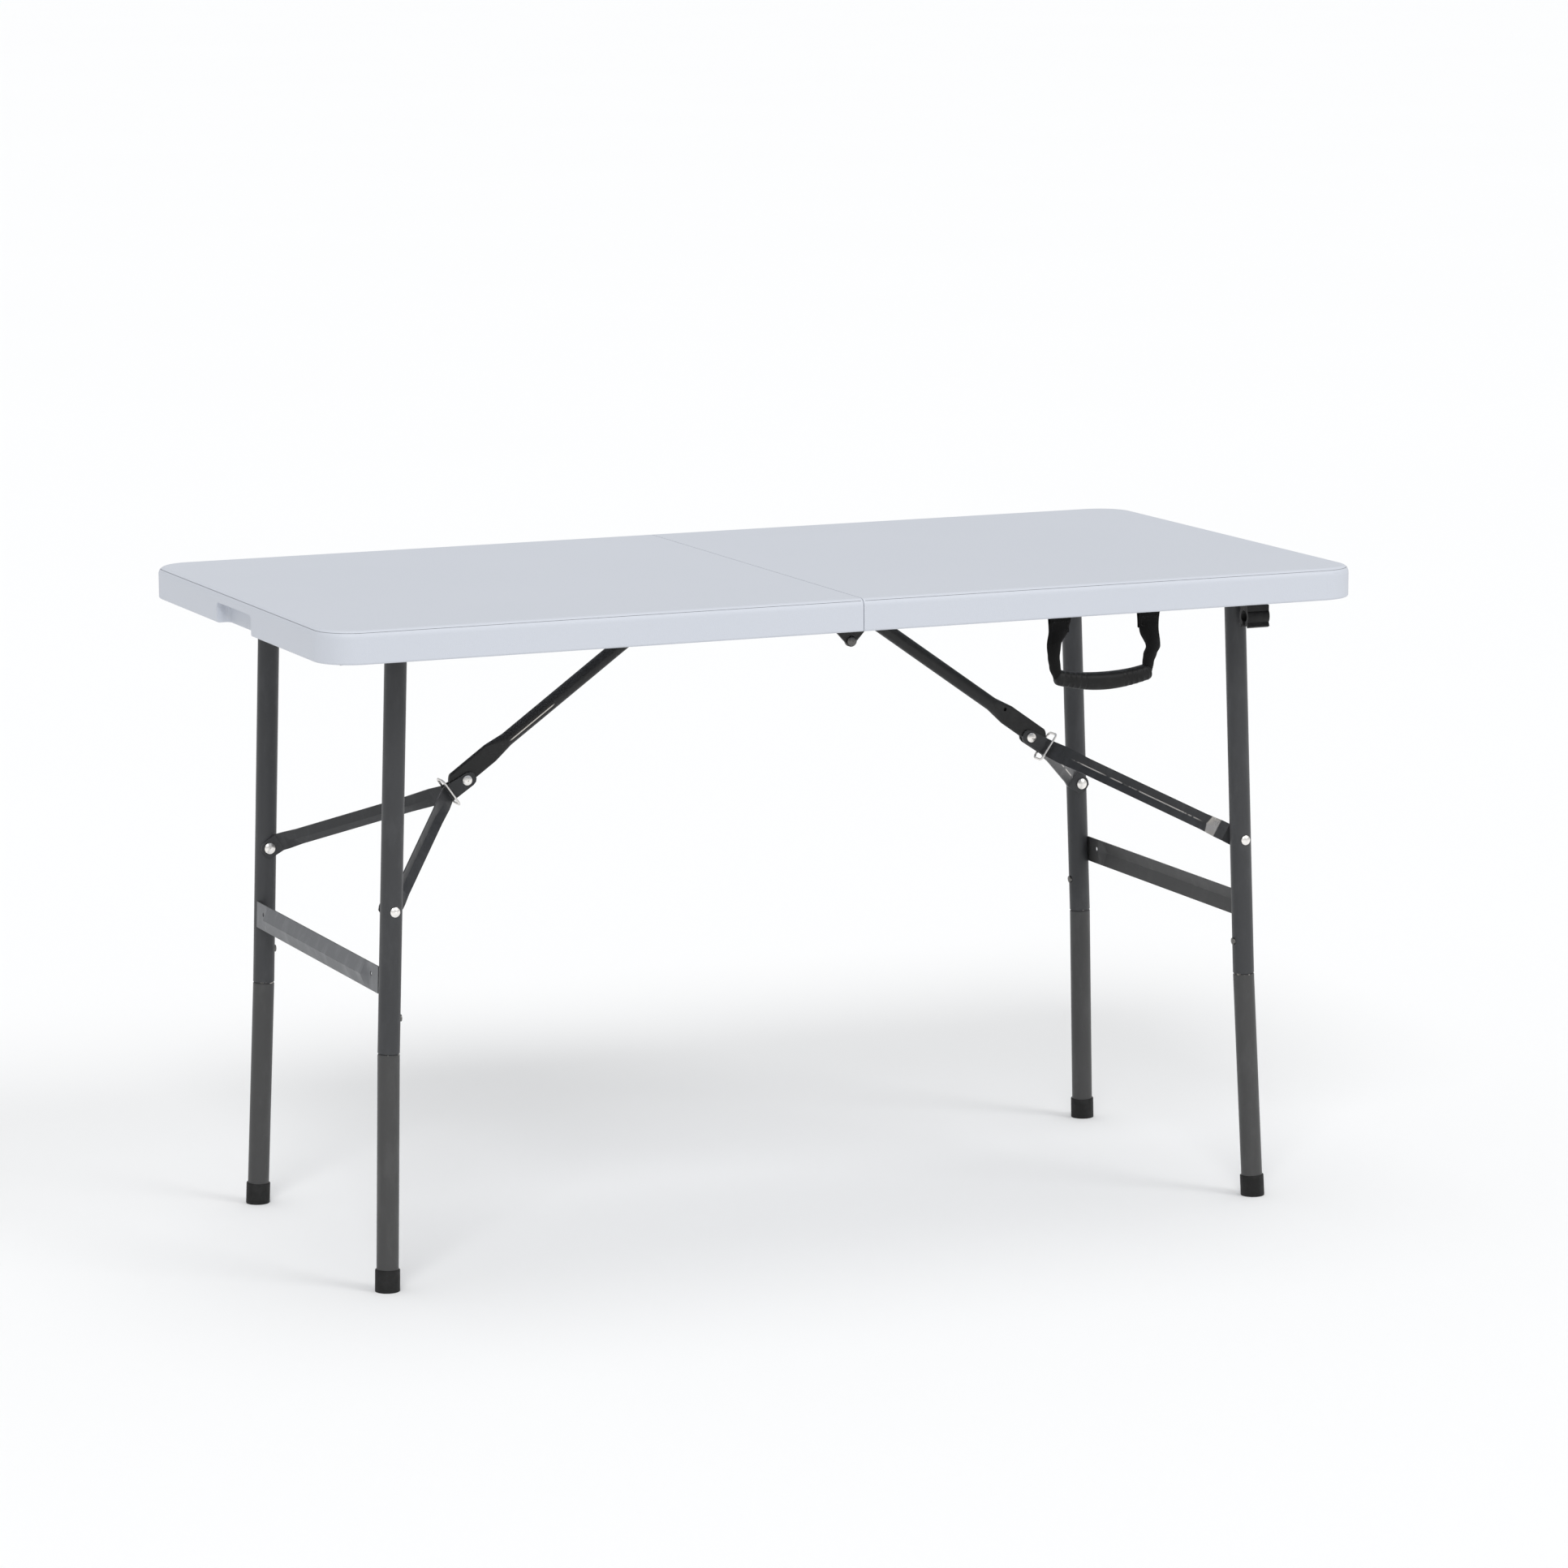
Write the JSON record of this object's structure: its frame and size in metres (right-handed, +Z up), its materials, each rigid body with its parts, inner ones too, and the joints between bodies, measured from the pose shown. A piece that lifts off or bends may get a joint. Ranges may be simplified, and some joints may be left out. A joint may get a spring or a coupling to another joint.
{
  "type": "folding table",
  "caption": "Long folding table: blow-moulded plastic top in two halves hinged at the middle, folding steel leg frames with folding braces, carry handle.",
  "frame": {"origin": "on the floor, under the middle of the table top, centred between the feet's outer box", "axes": "+X along the table's length, towards the end with the carry handle; +Y to the back; +Z up"},
  "size_m": [1.22, 0.61, 0.729],
  "materials": {
    "top_plastic": "blow-moulded polyethylene, cool light grey, fine moulded grain",
    "leg_paint": "dark grey powder coat, satin, fine orange peel",
    "brace_steel": "darker grey powder coat, satin, worn to bare steel at bends",
    "zinc_hardware": "bright zinc plate",
    "foot_rubber": "black moulded rubber, matt",
    "handle_plastic": "black moulded plastic, satin",
    "handle_webbing": "black woven webbing",
    "clip_plastic": "black moulded plastic, satin"
  },
  "bodies": {
    "left_top": {"left_tabletop": "top_plastic", "left_front_rail": "leg_paint", "left_back_rail": "leg_paint", "left_strut_bracket": "brace_steel", "left_strut_pin": "zinc_hardware", "left_screws": "zinc_hardware", "left_front_hinge_leaf": "brace_steel", "left_back_hinge_leaf": "brace_steel", "left_hinge_rivets": "zinc_hardware", "hinge_pins": "zinc_hardware"},
    "left_leg_frame": {"left_cross_tube": "leg_paint", "left_front_upper_leg": "leg_paint", "left_back_upper_leg": "leg_paint", "left_crossbar": "leg_paint", "left_arm_bolts": "zinc_hardware"},
    "left_strut_arm": {"left_strut": "brace_steel"},
    "left_arms": {"left_front_arm": "brace_steel", "left_back_arm": "brace_steel", "left_arm_rivets": "zinc_hardware"},
    "left_ring": {"left_lock_ring": "zinc_hardware"},
    "left_front_foot": {"left_front_lower_leg": "leg_paint", "left_front_foot_cap": "foot_rubber"},
    "left_front_button": {"left_front_snap_button": "zinc_hardware", "left_front_button_spring": "zinc_hardware"},
    "left_back_foot": {"left_back_lower_leg": "leg_paint", "left_back_foot_cap": "foot_rubber"},
    "left_back_button": {"left_back_snap_button": "zinc_hardware", "left_back_button_spring": "zinc_hardware"},
    "right_top": {"right_tabletop": "top_plastic", "right_front_rail": "leg_paint", "right_back_rail": "leg_paint", "right_strut_bracket": "brace_steel", "right_strut_pin": "zinc_hardware", "right_screws": "zinc_hardware", "right_front_hinge_leaf": "brace_steel", "right_back_hinge_leaf": "brace_steel", "right_hinge_rivets": "zinc_hardware", "latch_clip": "clip_plastic", "strap_anchors": "zinc_hardware"},
    "right_leg_frame": {"right_cross_tube": "leg_paint", "right_front_upper_leg": "leg_paint", "right_back_upper_leg": "leg_paint", "right_crossbar": "leg_paint", "right_arm_bolts": "zinc_hardware"},
    "right_strut_arm": {"right_strut": "brace_steel"},
    "right_arms": {"right_front_arm": "brace_steel", "right_back_arm": "brace_steel", "right_arm_rivets": "zinc_hardware"},
    "right_ring": {"right_lock_ring": "zinc_hardware"},
    "right_front_foot": {"right_front_lower_leg": "leg_paint", "right_front_foot_cap": "foot_rubber"},
    "right_front_button": {"right_front_snap_button": "zinc_hardware", "right_front_button_spring": "zinc_hardware"},
    "right_back_foot": {"right_back_lower_leg": "leg_paint", "right_back_foot_cap": "foot_rubber"},
    "right_back_button": {"right_back_snap_button": "zinc_hardware", "right_back_button_spring": "zinc_hardware"},
    "handle": {"handle_grip": "handle_plastic", "handle_near_strap": "handle_webbing", "handle_far_strap": "handle_webbing"}
  },
  "joints": [
    {"name": "table_fold", "type": "hinge", "parent": "left_top", "child": "right_top", "pos_m": [0, 0, 0.679], "axis": [0, -1, 0], "range_deg": [-65, 0]},
    {"name": "left_leg_fold", "type": "hinge", "parent": "left_top", "child": "left_leg_frame", "pos_m": [-0.4995, 0, 0.6975], "axis": [0, -1, 0], "range_deg": [0, 92]},
    {"name": "left_strut_fold", "type": "hinge", "parent": "left_top", "child": "left_strut_arm", "pos_m": [-0.082, 0, 0.697], "axis": [0, -1, 0], "range_deg": [-35.7, 0]},
    {"name": "left_knee_fold", "type": "hinge", "parent": "left_strut_arm", "child": "left_arms", "pos_m": [-0.34558, 0, 0.50989], "axis": [0, -1, 0], "range_deg": [0, 185]},
    {"name": "left_ring_slide", "type": "slide", "parent": "left_strut_arm", "child": "left_ring", "axis": [-0.8154, 0, -0.5789], "range_m": [-0.25, 0]},
    {"name": "left_front_leg_slide", "type": "slide", "parent": "left_leg_frame", "child": "left_front_foot", "axis": [0.0351, 0, 0.9994], "range_m": [-0.065, 0]},
    {"name": "left_front_button_press", "type": "slide", "parent": "left_leg_frame", "child": "left_front_button", "axis": [-0.9994, 0, 0.0351], "range_m": [0, 0.0022], "stiffness_N_per_m": 1500, "springref_m": -0.0008},
    {"name": "left_back_leg_slide", "type": "slide", "parent": "left_leg_frame", "child": "left_back_foot", "axis": [0.0351, 0, 0.9994], "range_m": [-0.065, 0]},
    {"name": "left_back_button_press", "type": "slide", "parent": "left_leg_frame", "child": "left_back_button", "axis": [-0.9994, 0, 0.0351], "range_m": [0, 0.0022], "stiffness_N_per_m": 1500, "springref_m": -0.0008},
    {"name": "right_leg_fold", "type": "hinge", "parent": "right_top", "child": "right_leg_frame", "pos_m": [0.4995, 0, 0.6975], "axis": [0, 1, 0], "range_deg": [0, 86]},
    {"name": "right_strut_fold", "type": "hinge", "parent": "right_top", "child": "right_strut_arm", "pos_m": [0.082, 0, 0.697], "axis": [0, 1, 0], "range_deg": [-35.7, 0]},
    {"name": "right_knee_fold", "type": "hinge", "parent": "right_strut_arm", "child": "right_arms", "pos_m": [0.34558, 0, 0.50989], "axis": [0, 1, 0], "range_deg": [0, 185]},
    {"name": "right_ring_slide", "type": "slide", "parent": "right_strut_arm", "child": "right_ring", "axis": [0.8154, 0, -0.5789], "range_m": [-0.25, 0]},
    {"name": "right_front_leg_slide", "type": "slide", "parent": "right_leg_frame", "child": "right_front_foot", "axis": [-0.0351, 0, 0.9994], "range_m": [-0.065, 0]},
    {"name": "right_front_button_press", "type": "slide", "parent": "right_leg_frame", "child": "right_front_button", "axis": [0.9994, 0, 0.0351], "range_m": [0, 0.0022], "stiffness_N_per_m": 1500, "springref_m": -0.0008},
    {"name": "right_back_leg_slide", "type": "slide", "parent": "right_leg_frame", "child": "right_back_foot", "axis": [-0.0351, 0, 0.9994], "range_m": [-0.065, 0]},
    {"name": "right_back_button_press", "type": "slide", "parent": "right_leg_frame", "child": "right_back_button", "axis": [0.9994, 0, 0.0351], "range_m": [0, 0.0022], "stiffness_N_per_m": 1500, "springref_m": -0.0008},
    {"name": "handle_swing", "type": "hinge", "parent": "right_top", "child": "handle", "pos_m": [0.3095, -0.261, 0.691], "axis": [-1, 0, 0], "range_deg": [-50, 70]}
  ],
  "couplings": [
    {"joint": "left_strut_fold", "follows": "left_leg_fold", "ratio": -0.38676},
    {"joint": "left_knee_fold", "follows": "left_leg_fold", "ratio": 2.0083},
    {"joint": "left_ring_slide", "follows": "left_leg_fold", "m_per_rad": -0.1555},
    {"joint": "right_strut_fold", "follows": "right_leg_fold", "ratio": -0.38676},
    {"joint": "right_knee_fold", "follows": "right_leg_fold", "ratio": 2.0083},
    {"joint": "right_ring_slide", "follows": "right_leg_fold", "m_per_rad": -0.1555}
  ]
}
